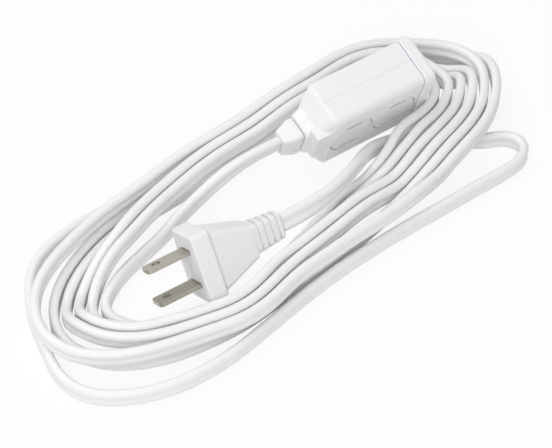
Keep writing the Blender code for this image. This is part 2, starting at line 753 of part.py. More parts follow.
def make_plug():
    pose = plug_pose()
    bridge_front = -PLUG_SKIN
    bridge_rear = bridge_front - BRIDGE_DEPTH
    blade_rear = bridge_rear - BLADE_TAIL
    crimp_rear = blade_rear - CRIMP_LENGTH
    room_height = PLUG_CRIMP_SPACING + 2 * (CRIMP_INNER_RADIUS + CRIMP_WALL + GAP)
    room_width = 2 * (CRIMP_INNER_RADIUS + CRIMP_WALL + GAP)

    body = loft_along_x(overmould_sections(), PLUG_CORNER)
    over = finish_mesh("plug_overmould", body, "white_vinyl", pose)
    pocket = block(
        (bridge_rear - GAP, -BRIDGE_WIDTH / 2 - GAP, -BRIDGE_HEIGHT / 2 - GAP),
        (bridge_front + GAP, BRIDGE_WIDTH / 2 + GAP, BRIDGE_HEIGHT / 2 + GAP),
    )
    cut(over, pocket, "bridge_pocket", pose)
    wide = (room_width, room_height)
    narrow = (CORD_THICKNESS + 2 * GAP, CORD_WIDTH + 2 * GAP)
    room = loft_along_x(
        [(bridge_rear + 0.5, *wide), (crimp_rear - GAP, *wide), (-PLUG_CORD_END + 1.0, *narrow)], 1.2
    )
    cut(over, room, "wire_room", pose)
    cut(over, cord_bore(plug_rear() - 1, -PLUG_CORD_END + 2.0), "plug_cord_bore", pose)

    bridge = finish_mesh(
        "plug_bridge",
        loft_along_x(
            [(bridge_rear, BRIDGE_WIDTH, BRIDGE_HEIGHT), (bridge_front, BRIDGE_WIDTH, BRIDGE_HEIGHT)], 1.0
        ),
        "bridge_plastic",
        pose,
    )
    for name, side, width in (("line", 1, LINE_BLADE_WIDTH), ("neutral", -1, NEUTRAL_BLADE_WIDTH)):
        level = side * BLADE_SPACING / 2
        for piece in (over, bridge):
            slot = block(
                (bridge_rear - 1, -width / 2 - GAP, level - BLADE_THICKNESS / 2 - GAP),
                (1, width / 2 + GAP, level + BLADE_THICKNESS / 2 + GAP),
            )
            cut(piece, slot, f"{piece.name}_{name}_slot", pose)
        make_blade(f"blade_{name}", level, width, blade_rear, pose)
        crimp_level = side * PLUG_CRIMP_SPACING / 2
        route = [
            (blade_rear - 1.1, 0, crimp_level),
            (crimp_rear, 0, crimp_level),
            (crimp_rear - 2.0, 0, crimp_level - side * 0.3),
            (-PLUG_CORD_END + GAP + 3.5, 0, side * (LEG_SPACING / 2 + 0.4)),
            (-PLUG_CORD_END + GAP + 1.5, 0, side * LEG_SPACING / 2),
            (-PLUG_CORD_END + GAP, 0, side * LEG_SPACING / 2),
        ]
        finish_mesh(f"wire_plug_{name}", round_wire(route), "wire_white", pose)


def make_blade(name, level, width, rear, pose):
    """A blade with rounded tip corners, its hole, and the barrel that its wire is crimped in."""
    outline = [(rear - 0.8, -1.6), (rear + 0.6, -1.6), (rear + 1.2, -width / 2)]
    tip = BLADE_LENGTH - BLADE_CORNER
    for side in (-1, 1):
        corner = []
        for i in range(5):
            angle = math.radians(90 * i / 4)
            x = tip + BLADE_CORNER * math.sin(angle)
            y = width / 2 - BLADE_CORNER + BLADE_CORNER * math.cos(angle)
            corner.append((x, side * y))
        outline += corner if side < 0 else corner[::-1]
    outline += [(rear + 1.2, width / 2), (rear + 0.6, 1.6), (rear - 0.8, 1.6)]
    low, high = level - BLADE_THICKNESS / 2, level + BLADE_THICKNESS / 2
    blade = finish_mesh(name, extruded(outline, low, high, "Z"), "blade_metal", pose)
    hole = extruded(circle(BLADE_HOLE_RADIUS, (BLADE_HOLE_FROM_FACE, 0)), low - 1, high + 1, "Z")
    cut(blade, hole, f"{name}_hole", pose)
    side = 1 if level > 0 else -1
    barrel_level = Matrix.Translation((0, 0, side * PLUG_CRIMP_SPACING / 2))
    join(blade, crimp_barrel(rear - CRIMP_LENGTH, rear, barrel_level), f"{name}_barrel", pose)
    seam = block((rear - CRIMP_LENGTH - 1, -0.25, 0.5), (rear - 0.9, 0.25, 4))
    seam.transform(barrel_level @ Matrix.Rotation(math.radians(0 if side < 0 else 180), 4, "X"))
    cut(blade, seam, f"{name}_seam", pose)


def crimp_barrel(start, end, move):
    outer = CRIMP_INNER_RADIUS + CRIMP_WALL
    profile = [(CRIMP_INNER_RADIUS, start), (outer, start), (outer, end), (CRIMP_INNER_RADIUS, end)]
    bm = revolved(profile, "X", closed=True, segments=20)
    bm.transform(move)
    return bm


def round_wire(route, segments=12):
    """A round wire through points in the plane y = 0."""
    route = [Vector(point) for point in route]
    rings = []
    for i, point in enumerate(route):
        before = (point - route[i - 1]).normalized() if i else (route[1] - point).normalized()
        after = (route[i + 1] - point).normalized() if i < len(route) - 1 else before
        along = (before + after).normalized()
        across = Vector((0, 1, 0))
        up = along.cross(across).normalized()
        turns = [2 * math.pi * k / segments for k in range(segments)]
        rings.append([point + WIRE_RADIUS * (across * math.cos(a) + up * math.sin(a)) for a in turns])
    bm = bmesh.new()
    skin(bm, rings)
    return bm


# ---------------------------------------------------------------- tap


def tap_axis_height():
    """How high the leaning tap's axis is when its end cap's corner rests on the surface."""
    lean = math.radians(TAP_LEAN)
    outline = rounded_rectangle(TAP_THICKNESS + 2 * CAP_LIP, TAP_HEIGHT + 2 * CAP_LIP, TAP_EDGE + CAP_LIP)
    return -min(y * math.sin(lean) + z * math.cos(lean) for y, z in outline)


def tap_pose():
    return place((0, 0, tap_axis_height()), (TAP_LEAN, "X"))


def tap_rear():
    return -TAP_LENGTH / 2


def shell_rear():
    return tap_rear() + COLLAR_LENGTH


def shell_front():
    return TAP_LENGTH / 2 - CAP_LENGTH - GAP


def tap_blank():
    """The outside that both shells share: a neck, shoulders and the long block."""
    rear = shell_rear()
    block_rear = rear + NECK_LENGTH
    full = (TAP_THICKNESS, TAP_HEIGHT)
    eased = (TAP_THICKNESS - 1.6, TAP_HEIGHT - 1.6)
    sections = [
        (rear, NECK_REAR[0] - 1.0, NECK_REAR[1] - 1.0),
        (rear + 0.5, *NECK_REAR),
        (rear + NECK_LENGTH * 0.45, *slanted(NECK_REAR, full, 0.18)),
        (block_rear - 0.8, *slanted(NECK_REAR, full, 0.78)),
        (block_rear, *eased),
        (block_rear + 1.0, *full),
        (shell_front(), *full),
    ]
    return loft_along_x(sections, TAP_EDGE)


def half_space(front):
    """A cutter that leaves one half of the tap, with the gap between the halves."""
    reach = TAP_LENGTH
    if front:
        return block((-reach, -GAP / 2, -reach), (reach, reach, reach))
    return block((-reach, -reach, -reach), (reach, GAP / 2, reach))


def outlet_places():
    """Name, x and side (-1 front, 1 back) of each outlet."""
    return (
        ("front_left", OUTLET_MIDDLE - OUTLET_PITCH / 2, -1),
        ("front_right", OUTLET_MIDDLE + OUTLET_PITCH / 2, -1),
        ("back", OUTLET_MIDDLE, 1),
    )


def outlet_slots():
    """Side of the middle and length of each blade's slot."""
    return ((1, LINE_SLOT_LENGTH), (-1, NEUTRAL_SLOT_LENGTH))


def slot_cutter(x, side, length, low, high):
    thickness = BLADE_THICKNESS + SLOT_CLEARANCE
    middle = side * BLADE_SPACING / 2
    bottom = middle - thickness / 2
    top = middle + thickness / 2
    return block((x - length / 2, low, bottom), (x + length / 2, high, top))


def make_tap():
    pose = tap_pose()
    face = TAP_THICKNESS / 2
    recess_depth = COVER_THICKNESS + GAP
    inner_face = face - recess_depth - FACE_WALL
    for front, name in ((True, "tap_front_shell"), (False, "tap_back_shell")):
        shell = finish_mesh(name, tap_blank(), "white_plastic", pose)
        cut(shell, half_space(front), f"{name}_half", pose)
        if front:
            lug_rear = (BLOCK_REAR - LUG_LENGTH, LUG_INSET - face, LUG_BOTTOM)
            lug = block(lug_rear, (BLOCK_REAR + 1.5, -face / 2, LUG_TOP))
            join(shell, lug, "lug", pose)
        hollow_shell(shell, inner_face, pose)
        for label, x, side in outlet_places():
            if (side < 0) != front:
                continue
            radius = COVER_RADIUS + GAP
            floor = side * (face - recess_depth)
            cover_room = revolved([(radius, floor), (radius, side * (face + 1))], "Y", segments=48)
            cover_room.transform(Matrix.Translation((x, 0, 0)))
            cut(shell, cover_room, f"{label}_recess", pose)
            head_room = revolved(
                [
                    (COVER_HEAD_RADIUS + GAP, side * (inner_face - COVER_HEAD_DEPTH - 2 * GAP)),
                    (COVER_HEAD_RADIUS + GAP, side * inner_face),
                    (COVER_STEM_RADIUS + GAP, side * inner_face),
                    (COVER_STEM_RADIUS + GAP, side * face),
                ],
                "Y",
                segments=24,
            )
            head_room.transform(Matrix.Translation((x, 0, 0)))
            cut(shell, head_room, f"{label}_stem_room", pose)
            low, high = sorted((side * (inner_face - 1.0), side * (face + 1)))
            for slot_side, length in outlet_slots():
                slot = slot_cutter(x, slot_side, length, low, high)
                cut(shell, slot, f"{label}_slot_{slot_side + 1}", pose)
    make_covers(pose, face, inner_face)
    make_end_cap(pose, inner_face)
    make_strain_relief(pose)
    make_contacts(pose)


def hollow_shell(shell, inner_face, pose):
    """Cut the rooms for the contacts, wires, strain relief and end cap."""
    rear = shell_rear()
    front = shell_front()
    for side in (-1, 1):
        middle = side * BLADE_SPACING / 2
        low = middle - CONTACT_ROOM / 2
        high = middle + CONTACT_ROOM / 2
        room = block((CRIMP_START - 1.0, -inner_face, low), (contact_end() + 0.6, inner_face, high))
        cut(shell, room, f"{shell.name}_contact_room_{side + 1}", pose)
    wide = (5.4, 2 * (BLADE_SPACING / 2 + CONTACT_ROOM / 2))
    narrow = (5.0, LEG_SPACING + 2 * WIRE_RADIUS + 1.2)
    flange_rear = rear + COLLAR_NECK_LENGTH
    flange_front = flange_rear + COLLAR_FLANGE_LENGTH
    widening = [(flange_front - 0.5, *narrow), (CRIMP_START - 0.5, *wide), (CRIMP_START + 4, *wide)]
    room = loft_along_x(widening, 1.2)
    cut(shell, room, f"{shell.name}_wire_room", pose)
    neck = loft_along_x([(rear - 1, *COLLAR_NECK), (flange_rear + 0.5, *COLLAR_NECK)], 1.2)
    widen(neck, GAP)
    cut(shell, neck, f"{shell.name}_collar_neck", pose)
    flange = loft_along_x([(flange_rear, *COLLAR_FLANGE), (flange_front, *COLLAR_FLANGE)], 1.2)
    widen(flange, GAP)
    cut(shell, flange, f"{shell.name}_collar_flange", pose)
    spigot = cap_spigot(inner_face, front - CAP_SPIGOT_LENGTH, front + 2)
    widen(spigot, GAP)
    cut(shell, spigot, f"{shell.name}_cap_pocket", pose)


def widen(bm, amount):
    """Move each vertex of a straight cutter out by the amount along every axis."""
    middle = sum((vertex.co for vertex in bm.verts), Vector()) / len(bm.verts)
    for vertex in bm.verts:
        for axis in range(3):
            offset = vertex.co[axis] - middle[axis]
            if abs(offset) > 1e-6:
                vertex.co[axis] += math.copysign(amount, offset)


def cap_spigot(inner_face, start, end):
    width = 2 * (inner_face - GAP)
    height = TAP_HEIGHT - 2 * SHELL_WALL - 2 * GAP
    return loft_along_x([(start, width, height), (end, width, height)], 1.0)


def make_end_cap(pose, inner_face):
    front = shell_front()
    start = front + GAP
    end = TAP_LENGTH / 2
    full = (TAP_THICKNESS + 2 * CAP_LIP, TAP_HEIGHT + 2 * CAP_LIP)
    eased = (full[0] - 2 * CAP_EDGE, full[1] - 2 * CAP_EDGE)
    nearly = (full[0] - 0.6, full[1] - 0.6)
    sections = [
        (start, *nearly),
        (start + 0.3, *full),
        (end - CAP_EDGE, *full),
        (end - CAP_EDGE * 0.35, full[0] - CAP_EDGE * 0.7, full[1] - CAP_EDGE * 0.7),
        (end, *eased),
    ]
    cap = finish_mesh("tap_end_cap", loft_along_x(sections, TAP_EDGE + CAP_LIP), "white_plastic", pose)
    spigot = cap_spigot(inner_face, front - CAP_SPIGOT_LENGTH + GAP, start + 1.0)
    join(cap, spigot, "cap_spigot", pose)


def make_covers(pose, face, inner_face):
    """The turning covers: a slotted disc, a stem through the face and a snap head behind it."""
    for label, x, side in outlet_places():
        disc_back = face - COVER_THICKNESS
        head_top = inner_face - GAP
        head_low = head_top - COVER_HEAD_DEPTH
        profile = [
            (COVER_RADIUS - 0.3, side * face),
            (COVER_RADIUS, side * (face - 0.3)),
            (COVER_RADIUS, side * disc_back),
            (COVER_STEM_RADIUS, side * disc_back),
            (COVER_STEM_RADIUS, side * head_top),
            (COVER_HEAD_RADIUS, side * head_top),
            (COVER_HEAD_RADIUS - 0.7, side * head_low),
        ]
        spot = pose @ Matrix.Translation(Vector((x, 0, 0)) * MM)
        cover = finish_mesh(f"cover_{label}", revolved(profile, "Y", segments=48), "cover_plastic", spot)
        low, high = sorted((side * (disc_back - 1), side * (face + 1)))
        for slot_side, length in outlet_slots():
            slot = slot_cutter(0, slot_side, length, low, high)
            cut(cover, slot, f"cover_{label}_slot_{slot_side + 1}", spot)


def make_strain_relief(pose):
    """The collar that grips the cord, its neck through the shells and the flange behind them."""
    rear = tap_rear()
    front = shell_rear() - GAP
    flange_rear = shell_rear() + COLLAR_NECK_LENGTH
    flange_front = flange_rear + COLLAR_FLANGE_LENGTH
    sections = [
        (rear, COLLAR_REAR[0] - 1.0, COLLAR_REAR[1] - 1.0),
        (rear + 0.6, *COLLAR_REAR),
        (front - 2.6, *COLLAR_FRONT),
        (front - 0.5, *COLLAR_FRONT),
        (front, COLLAR_FRONT[0] - 1.0, COLLAR_FRONT[1] - 1.0),
        (front + 0.02, *COLLAR_NECK),
        (flange_rear - 0.02, *COLLAR_NECK),
        (flange_rear, *COLLAR_FLANGE),
        (flange_front, *COLLAR_FLANGE),
    ]
    relief = finish_mesh("tap_strain_relief", loft_along_x(sections, 1.2), "white_vinyl", pose)
    cut(relief, cord_bore(rear - 1, flange_front + 1), "collar_bore", pose)
    side = -COLLAR_FRONT[0] / 2
    pit = [(COLLAR_PIT_RADIUS, side - 1), (COLLAR_PIT_RADIUS, side + COLLAR_PIT_DEPTH)]
    spot = Vector((shell_rear() - COLLAR_PIT_BACK, 0, -COLLAR_PIT_DROP))
    spot = pose @ Matrix.Translation(spot * MM)
    cut(relief, revolved(pit, "Y", segments=16), "collar_pit", spot)


def contact_end():
    """Where the contact strips stop, past the last outlet."""
    return OUTLET_MIDDLE + OUTLET_PITCH / 2 + CONTACT_HALF_LENGTH + 1.0


def thick_line(points, thickness):
    """A closed outline round an open line in a plane."""
    points = [Vector(point) for point in points]
    left, right = [], []
    for i, point in enumerate(points):
        before = (point - points[i - 1]).normalized() if i else (points[1] - point).normalized()
        after = (points[i + 1] - point).normalized() if i < len(points) - 1 else before
        middle = (before + after).normalized()
        normal = Vector((-middle.y, middle.x)) / max(0.5, middle.dot(before))
        left.append(tuple(point + normal * thickness / 2))
        right.append(tuple(point - normal * thickness / 2))
    return left + right[::-1]


def make_contacts(pose):
    """A strip for each pole, pinched at every outlet against a leaf folded back beside it."""
    for name, side in (("line", 1), ("neutral", -1)):
        blade_level = BLADE_SPACING / 2
        outer = blade_level + CONTACT_SPREAD
        inner = blade_level - CONTACT_SPREAD
        half = CONTACT_HALF_LENGTH
        fold = CONTACT_SPREAD * 0.6
        near = CONTACT_PINCH + STRIP_THICKNESS / 2
        spine = [(CRIMP_END - 1.0, outer)]
        for _, x, _ in sorted(outlet_places(), key=lambda outlet: outlet[1]):
            pinch = blade_level + near
            spine += [(x - 2.6, outer), (x - 0.8, pinch), (x + 0.8, pinch), (x + 2.6, outer)]
        spine.append((contact_end() - 0.6, outer))
        outline = [(x, side * z) for x, z in thick_line(spine, STRIP_THICKNESS)]
        strip = finish_mesh(
            f"bus_{name}",
            extruded(outline, -STRIP_HEIGHT / 2, STRIP_HEIGHT / 2, "Y"),
            "contact_brass",
            pose,
        )
        for label, x, _ in outlet_places():
            leaf = [
                (x + half - 1.6, outer),
                (x + half - fold, outer),
                (x + half - 0.1, blade_level + fold),
                (x + half - 0.1, blade_level - fold),
                (x + half - fold, inner),
                (x + 2.0, inner),
                (x + 0.8, blade_level - near),
                (x - 0.8, blade_level - near),
                (x - 3.0, inner - 0.3),
            ]
            outline = [(a, side * z) for a, z in thick_line(leaf, STRIP_THICKNESS)]
            height = STRIP_HEIGHT - 0.6
            join(strip, extruded(outline, -height / 2, height / 2, "Y"), f"{name}_{label}_leaf", pose)
        barrel_level = outer - CRIMP_INNER_RADIUS - CRIMP_WALL / 2
        move = Matrix.Translation((0, 0, side * barrel_level))
        join(strip, crimp_barrel(CRIMP_START, CRIMP_END, move), f"{name}_barrel", pose)
        cord_end = TAP_CORD_END + GAP
        route = [
            (cord_end, 0, side * LEG_SPACING / 2),
            (cord_end + 0.8, 0, side * LEG_SPACING / 2),
            (cord_end + 1.6, 0, side * (LEG_SPACING / 2 + 0.6)),
            (CRIMP_START - 1.2, 0, side * (barrel_level - 0.5)),
            (CRIMP_START - 0.4, 0, side * barrel_level),
            (CRIMP_END - 1.6, 0, side * barrel_level),
        ]
        finish_mesh(f"wire_tap_{name}", round_wire(route), "wire_white", pose)


# ---------------------------------------------------------------- build


def main():
    for piece in list(bpy.data.objects):
        bpy.data.objects.remove(piece, do_unlink=True)
    make_tap()
    make_plug()
    make_cord()


main()
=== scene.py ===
"""Looks of the flat white extension cord: its cord as one smooth tube, finishes, light and camera.

Sizes are in millimetres and become metres where a mesh or an object is made. The frame is the
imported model's: the origin lies on the surface under the middle of the tap, +X runs along the tap
away from its cord, and +Z is up.
"""

import json
import math

import bmesh
import bpy
import numpy as np
from mathutils import Matrix, Vector


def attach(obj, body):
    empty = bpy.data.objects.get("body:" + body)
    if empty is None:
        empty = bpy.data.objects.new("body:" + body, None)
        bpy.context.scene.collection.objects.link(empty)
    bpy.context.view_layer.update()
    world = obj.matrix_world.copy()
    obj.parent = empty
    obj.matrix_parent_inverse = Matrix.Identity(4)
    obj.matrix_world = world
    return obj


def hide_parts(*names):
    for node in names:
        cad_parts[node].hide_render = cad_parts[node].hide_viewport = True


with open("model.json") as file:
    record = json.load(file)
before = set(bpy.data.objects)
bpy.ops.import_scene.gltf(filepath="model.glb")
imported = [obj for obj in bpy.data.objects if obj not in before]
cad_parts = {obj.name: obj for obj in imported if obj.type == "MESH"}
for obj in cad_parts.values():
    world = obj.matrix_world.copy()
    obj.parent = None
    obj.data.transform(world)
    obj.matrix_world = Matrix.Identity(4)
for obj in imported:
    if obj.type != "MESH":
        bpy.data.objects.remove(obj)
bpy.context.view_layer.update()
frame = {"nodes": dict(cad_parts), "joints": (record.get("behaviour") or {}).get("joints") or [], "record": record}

MM = 0.001
GAP = 0.3  # between two pieces that touch

# Cord, laid on edge, and where its two ends go
CORD_WIDTH = 7.2
CORD_THICKNESS = 3.6
CORD_GROOVE = 0.55  # depth of the groove along each flat side
PLUG_FACE_POINT = (-43.3, -11.5, 16.8)  # from the middle of the coil
PLUG_TURN = 179.0  # degrees from +X to where the blades point
PLUG_ROLL = 32.0  # degrees that the plug leans over
PLUG_REAR = -36.6  # along the plug from its face at 0
PLUG_CORD_END = 24.9  # from the face to where the cord's jacket ends
TAP_LEAN = 16.5  # degrees that the tap leans towards its two outlets
TAP_LENGTH = 61.4
TAP_THICKNESS = 19.5
CAP_LIP = 0.8  # that the end cap stands proud of the shells
COLLAR_LENGTH = 8.0
NECK_LENGTH = 8.0
TAP_REAR = -TAP_LENGTH / 2
TAP_CORD_END = -18.6  # along the tap, where the cord's jacket ends
TAP_AXIS_HEIGHT = frame["joints"][0]["pos_m"][2] / MM

# Coil, in the same named values as the solids
COIL_MIDDLE = (-44.3, -18.8)
TURNS = 7
RUN_HALF_LENGTH = 36.0
RUN_SHARE = 0.30  # of a quarter turn that is run, the rest being bend
NEAR_OFFSETS = (33.0, 30.5, 28.9, 23.6, 19.2, 14.6, 10.2)
LEFT_REACHES = (99.5, 99.0, 92.4, 88.1, 83.4, 78.9, 74.4)
FAR_OFFSETS = (37.5, 37.7, 33.0, 28.5, 24.0, 19.5, 15.0)
RIGHT_REACHES = (107.4, 102.9, 98.2, 93.5, 88.7, 82.7, 79.8)
NEAR_SLOPE = 0.125
FAR_SLOPE = 0.085
FAR_BOW = 2.0
COIL_BEND = 0.0006  # curvature of the whole coil's middle line, per mm
LIFT = 8.0  # of a strand that crosses over another
# Where strands shift or lift, in quarter turns from the middle of the near run
RIGHT_CORNER = (-1.0, -0.82, -0.45, 0.0)
NEAR_CORNER = (-0.15, 0.45, 0.62, 1.0)
TUCKED = (-0.3, 0.28, 0.62, 1.0)
FAR_CORNER = (1.15, 1.5, 1.62, 1.92)
STACKED = (1.45, 2.0, 2.65, 3.02)
BEHIND_TAP = (2.05, 2.5, 2.62, 2.95)
OVER_LEAD_CORNER = (-1.0, -0.8, -0.66, -0.4)
STACK_SHIFT = 9.4  # of the strands that cross outwards to lie on top behind the tap
TUCK_SHIFT = 9.0  # of the strands that cross outwards beneath the others at the left bend
TURN_SHIFTS = {
    1: [(BEHIND_TAP, 2.4)],
    2: [(NEAR_CORNER, -0.7), (FAR_CORNER, -3.4), (BEHIND_TAP, 3.0)],
    3: [(RIGHT_CORNER, -3.5), (OVER_LEAD_CORNER, -0.8), (BEHIND_TAP, 2.8)],
    4: [(RIGHT_CORNER, -2.9), (OVER_LEAD_CORNER, -1.5), (TUCKED, 2.0), (BEHIND_TAP, 3.2)],
    5: [(RIGHT_CORNER, -3.0), (OVER_LEAD_CORNER, -2.2), (TUCKED, 3.0)],
    6: [(RIGHT_CORNER, -2.9), (OVER_LEAD_CORNER, -3.1), (TUCKED, TUCK_SHIFT)],
    7: [(RIGHT_CORNER, -2.9), (OVER_LEAD_CORNER, -4.0), (TUCKED, TUCK_SHIFT)],
}
for stacked_turn in (5, 6):
    TURN_SHIFTS[stacked_turn] += [(STACKED, STACK_SHIFT), (BEHIND_TAP, 3.5)]
LIFT_OVER_LEAD = (2.85, 3.12, 3.42, 3.85)
TURN_LIFTS = {
    2: [(-0.75, -0.3, 3.1, 3.5)],
    4: [(-0.55, -0.15, 0.9, 1.2)],
    5: [(-0.55, -0.15, 0.9, 1.2), (1.25, 1.6, 3.1, 3.5)],
    6: [(1.15, 1.5, 3.1, 3.5)],
}
COIL_START = 1.85  # in quarter turns
COIL_END = 25.5
STRAND_PITCH = CORD_THICKNESS + 0.86
LAYER_PITCH = CORD_WIDTH + 0.55
PIECE_CLEARANCE = 0.6
PLUG_FACE_REACHES = (10.5, 14.4)
PLUG_FACE_RUN = 13.0
BLADE_REACH = 7.3
BLADE_LENGTH = 16.5
SETTLING_STEP = 2.5  # between the points that are eased apart
SETTLING_SPREAD = 20.0  # how far along the cord one push reaches
SETTLING_ROUNDS = 250
SETTLING_RATE = 0.4
PUSHED_FROM = 16.0
OWN_STRETCH = 24.0  # of cord nearby that is the strand itself
UNTWIST_LENGTH = 22.0  # over which the cord turns from its end's lean to upright
PLUG_LEAD = (
    (12.0, -11.0, 16.6),
    (22.0, -8.2, 15.7),
    (31.5, -3.8, 13.9),
    (40.5, 1.4, 11.2),
    (48.5, 4.9, 7.2),
    (56.0, 6.0, 4.3),
    (63.5, 5.0, 3.6),
    (69.0, 2.2, 3.6),
    (74.0, -2.2, 3.6),
    (79.5, -7.5, 3.6),
    (85.0, -12.3, 3.6),
    (91.0, -14.4, 3.6),
    (95.8, -18.4, 3.6),
    (95.9, -24.2, 3.6),
    (90.5, -28.2, 3.6),
    (82.0, -29.3, 3.6),
    (68.0, -29.6, 3.6),
    (52.0, -30.2, 3.6),
    (36.0, -30.6, 3.6),
    (20.0, -31.6, 3.6),
    (4.0, -33.2, 3.6),
    (-14.0, -36.3, 3.6),
    (-32.0, -40.2, 3.6),
    (-46.0, -43.0, 3.6),
    (-58.0, -43.9, 3.6),
    (-70.0, -43.2, 3.6),
    (-80.0, -40.6, 3.6),
    (-88.0, -37.0, 3.6),
    (-94.5, -32.4, 3.6),
    (-99.0, -26.5, 3.6),
    (-101.0, -19.5, 3.6),
    (-100.8, -12.5, 3.6),
    (-99.2, -4.5, 3.6),
    (-97.6, 4.0, 3.6),
    (-95.0, 12.5, 3.6),
    (-90.8, 21.0, 3.6),
    (-85.0, 28.2, 3.6),
    (-76.0, 33.2, 3.6),
    (-64.0, 35.8, 3.6),
    (-50.0, 36.8, 3.6),
)
TAP_LEAD = (
    (-34.0, 16.2, 5.9),
    (-25.0, 17.8, 9.3),
    (-14.0, 18.7, 13.8),
    (-4.0, 18.8, 17.2),
)

CORD_RING_STEP = 2.4  # along the shown cord
CORD_SMOOTHING = 6.0  # how far along the cord its kinks are smoothed


# ---------------------------------------------------------------- route of the cord


def ease(share):
    """A smooth step from 0 to 1."""
    share = min(max(share, 0.0), 1.0)
    return share * share * (3 - 2 * share)


def rise_and_fall(place_on_turn, spans):
    """0 before the span, 1 in its middle and 0 after it."""
    start, full, last_full, end = spans
    rise = ease((place_on_turn - start) / (full - start))
    fall = ease((place_on_turn - last_full) / (end - last_full))
    return rise * (1 - fall)


def station_value(index):
    """The offset or reach at a whole number of quarter turns."""
    turn, kind = divmod(index, 4)
    turn = min(max(turn, 0), TURNS - 1)
    return (NEAR_OFFSETS, LEFT_REACHES, FAR_OFFSETS, RIGHT_REACHES)[kind][turn]


def between_stations(quarter, first):
    """An offset (first 0) or a reach (first 1), eased from one side of the coil to the other."""
    index = math.floor((quarter - first) / 2)
    share = ease((quarter - first) / 2 - index)
    before = station_value(2 * index + first)
    after = station_value(2 * index + 2 + first)
    return before * (1 - share) + after * share


def coil_point(quarter):
    """The cord's middle line after that many quarter turns from the first near run.

    Seen from above a turn goes along its near run to the left bend, back along the far run and
    round the right bend.
    """
    reach = between_stations(quarter, 1)
    offset = between_stations(quarter, 0)
    level = 0.0
    for turn in range(1, TURNS + 1):
        local = quarter - 4 * (turn - 1)
        if -1 <= local < 4:
            for spans, shift in TURN_SHIFTS[turn]:
                offset += shift * rise_and_fall(local, spans)
            for spans in [LIFT_OVER_LEAD, *TURN_LIFTS.get(turn, [])]:
                level = max(level, rise_and_fall(local, spans))
    index = math.floor(quarter)
    kind = index % 4
    share = quarter - index
    from_run = share if kind in (0, 2) else 1 - share
    if from_run < RUN_SHARE:
        x = RUN_HALF_LENGTH * from_run / RUN_SHARE
        across = 1.0
    else:
        bend = (from_run - RUN_SHARE) / (1 - RUN_SHARE) * math.pi / 2
        x = RUN_HALF_LENGTH + (reach - RUN_HALF_LENGTH) * math.sin(bend)
        across = math.cos(bend)
    x *= -1 if kind in (0, 1) else 1
    far = kind in (1, 2)
    across *= 1 if far else -1
    slope = (NEAR_SLOPE + FAR_SLOPE) / 2 + across * (FAR_SLOPE - NEAR_SLOPE) / 2
    bow = FAR_BOW * math.cos(math.pi / 2 * min(1.0, abs(x) / reach)) if far else 0.0
    y = across * (offset + bow) + slope * x + COIL_BEND * x * x
    return (x + COIL_MIDDLE[0], y + COIL_MIDDLE[1], CORD_WIDTH / 2 + LIFT * level)


def from_coil_middle(points):
    """Points given from the middle of the coil, in the frame's own place."""
    return [(x + COIL_MIDDLE[0], y + COIL_MIDDLE[1], z) for x, y, z in points]


def smooth_through(points, before, after, parts=12):
    """A smooth curve through the points, aimed by the points before and after them."""
    a = np.array([before, *points, after], dtype=float)
    curve = []
    for p, start, end, n in zip(a, a[1:], a[2:], a[3:]):
        for t in np.arange(parts) / parts:
            bend = (2 * p - 5 * start + 4 * end - n) * t * t + (3 * start - p - 3 * end + n) * t**3
            curve.append(start + 0.5 * ((end - p) * t + bend))
    curve.append(a[-2])
    return np.array(curve)


def beyond(route, end, distance):
    """The point a distance past an end (0 or -1) of a route."""
    inner = 1 if end == 0 else -2
    out = route[end] - route[inner]
    return route[end] + out / np.linalg.norm(out) * distance


def evenly(points, step):
    """Points spaced evenly along a line of points."""
    points = np.array(points, dtype=float)
    run = np.concatenate([[0], np.cumsum(np.linalg.norm(np.diff(points, axis=0), axis=1))])
    places = np.linspace(0, run[-1], round(run[-1] / step) + 1)
    return np.stack([np.interp(places, run, points[:, i]) for i in range(3)], axis=1)


def settled(line, still):
    """The line of points, its strands eased off each other and off the still points."""
    line = line.copy()
    count = len(line)
    numbers = np.arange(count)
    apart = line[:, None, :2] - np.vstack([line, still])[None, :, :2]
    near = np.linalg.norm(apart, axis=2) < PUSHED_FROM
    near[:, :count] &= np.abs(numbers[:, None] - numbers) * SETTLING_STEP >= OWN_STRETCH
    strand, other = np.nonzero(near)
    share = np.where(other < count, 0.5, 1.0)
    from_end = np.minimum(numbers, numbers[::-1]) * SETTLING_STEP
    free = np.clip((from_end - CORD_WIDTH) / OWN_STRETCH, 0, 1)[:, None]
    spread = np.hanning(2 * round(SETTLING_SPREAD / SETTLING_STEP) + 1)
    spread /= spread.sum()
    for _ in range(SETTLING_ROUNDS):
        away = line[strand] - np.vstack([line, still])[other]
        beside = np.maximum(np.hypot(away[:, 0], away[:, 1]), 0.01)
        sideways = STRAND_PITCH - beside
        upward = LAYER_PITCH - np.abs(away[:, 2])
        close = (sideways > 0) & (upward > 0)
        aside = np.where(close & (sideways <= upward), sideways * share, 0.0) / beside
        above = np.where(close & (sideways > upward), upward * share, 0.0)
        pushes = [aside * away[:, 0], aside * away[:, 1], above * np.sign(away[:, 2])]
        push = [np.bincount(strand, weights=weights, minlength=count) for weights in pushes]
        push = np.stack([np.convolve(values, spread, mode="same") for values in push], axis=1)
        line += SETTLING_RATE * push * free
        line[:, 2] = np.maximum(line[:, 2], CORD_WIDTH / 2)
    return line


